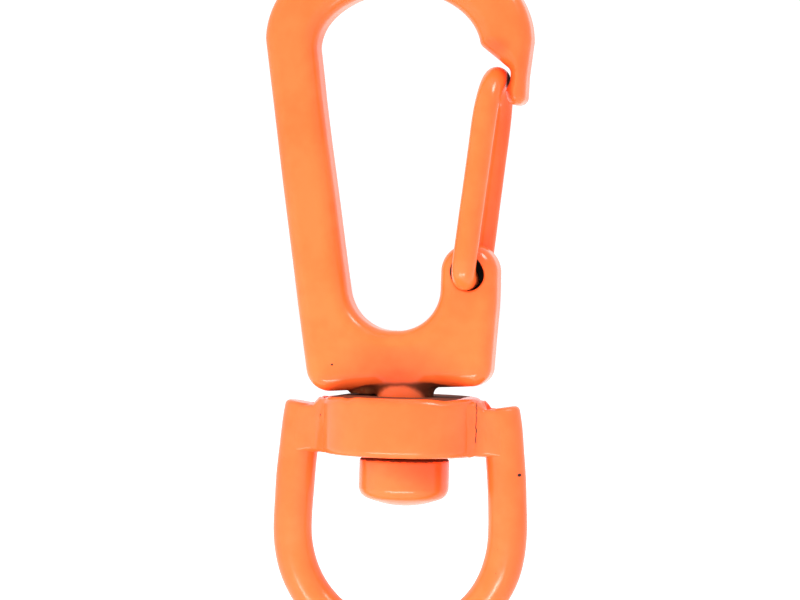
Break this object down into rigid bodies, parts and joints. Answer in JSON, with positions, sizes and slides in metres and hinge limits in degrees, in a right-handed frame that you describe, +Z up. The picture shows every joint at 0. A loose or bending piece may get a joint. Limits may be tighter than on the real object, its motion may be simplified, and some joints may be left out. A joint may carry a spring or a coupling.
{
  "type": "swivel snap hook",
  "caption": "Flat cast snap hook with a sprung wire gate and a swivelling round-bar eye, all painted orange.",
  "frame": {"origin": "the seat, the highest point inside the hook's arch, in the middle of its thickness", "axes": "+Z up along the swivel's axis, from the eye to the arch; +X from the spine to the gate; +Y through the thickness, to the back"},
  "size_m": [0.0322, 0.019, 0.085],
  "materials": {
    "hook_paint": "satin orange powder coat",
    "gate_paint": "satin orange powder coat",
    "stud_paint": "orange powder coat, thin on the neck and bare inside the collar",
    "eye_paint": "satin orange powder coat, bare on the hidden top of the collar",
    "weld_paint": "orange powder coat, cracked along the joint"
  },
  "bodies": {
    "hook": {"hook_body": "hook_paint", "swivel_stud": "stud_paint"},
    "gate": {"gate_wire": "gate_paint"},
    "eye": {"swivel_collar": "eye_paint", "eye_bow": "eye_paint", "weld_left_front": "weld_paint", "weld_left_rear": "weld_paint", "weld_right_front": "weld_paint", "weld_right_rear": "weld_paint"}
  },
  "joints": [
    {"name": "gate_pivot", "type": "hinge", "parent": "hook", "child": "gate", "pos_m": [0.00894, 0, -0.03314], "axis": [0, -1, 0], "range_deg": [0, 48], "stiffness_Nm_per_rad": 0.08, "springref_deg": -20.05},
    {"name": "swivel", "type": "hinge", "parent": "hook", "child": "eye", "pos_m": [0.0014, 0, -0.05], "axis": [0, 0, 1], "continuous": true}
  ]
}
